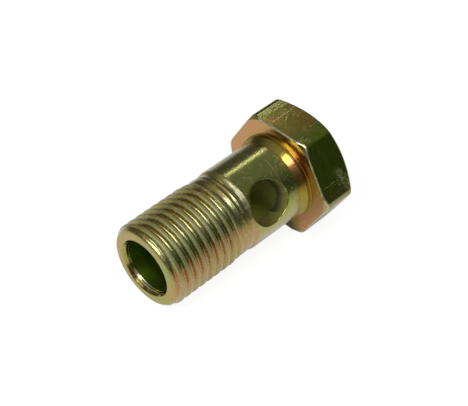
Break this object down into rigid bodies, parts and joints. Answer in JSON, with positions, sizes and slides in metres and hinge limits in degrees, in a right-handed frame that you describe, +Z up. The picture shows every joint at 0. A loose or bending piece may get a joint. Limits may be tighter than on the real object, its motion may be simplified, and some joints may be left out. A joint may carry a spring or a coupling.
{
  "type": "banjo bolt",
  "caption": "Hollow hexagon-head bolt with a blind axial bore, a cross hole through its plain shank, a small collar under the head and a fine outside thread.",
  "frame": {"origin": "on the level surface that the bolt lies on, under the middle of its length and width", "axes": "+Z up; +X along the length towards the head, with the bolt's own axis rising 5.29 degrees towards it, because it lies on one head flat and the thread; -Y on the side where the cross hole opens upwards"},
  "size_m": [0.0362, 0.022, 0.0195],
  "materials": {
    "yellow_zinc": "zinc plated steel with a yellow iridescent passivation, satin"
  },
  "bodies": {
    "root": {"banjo_bolt": "yellow_zinc"}
  },
  "joints": []
}
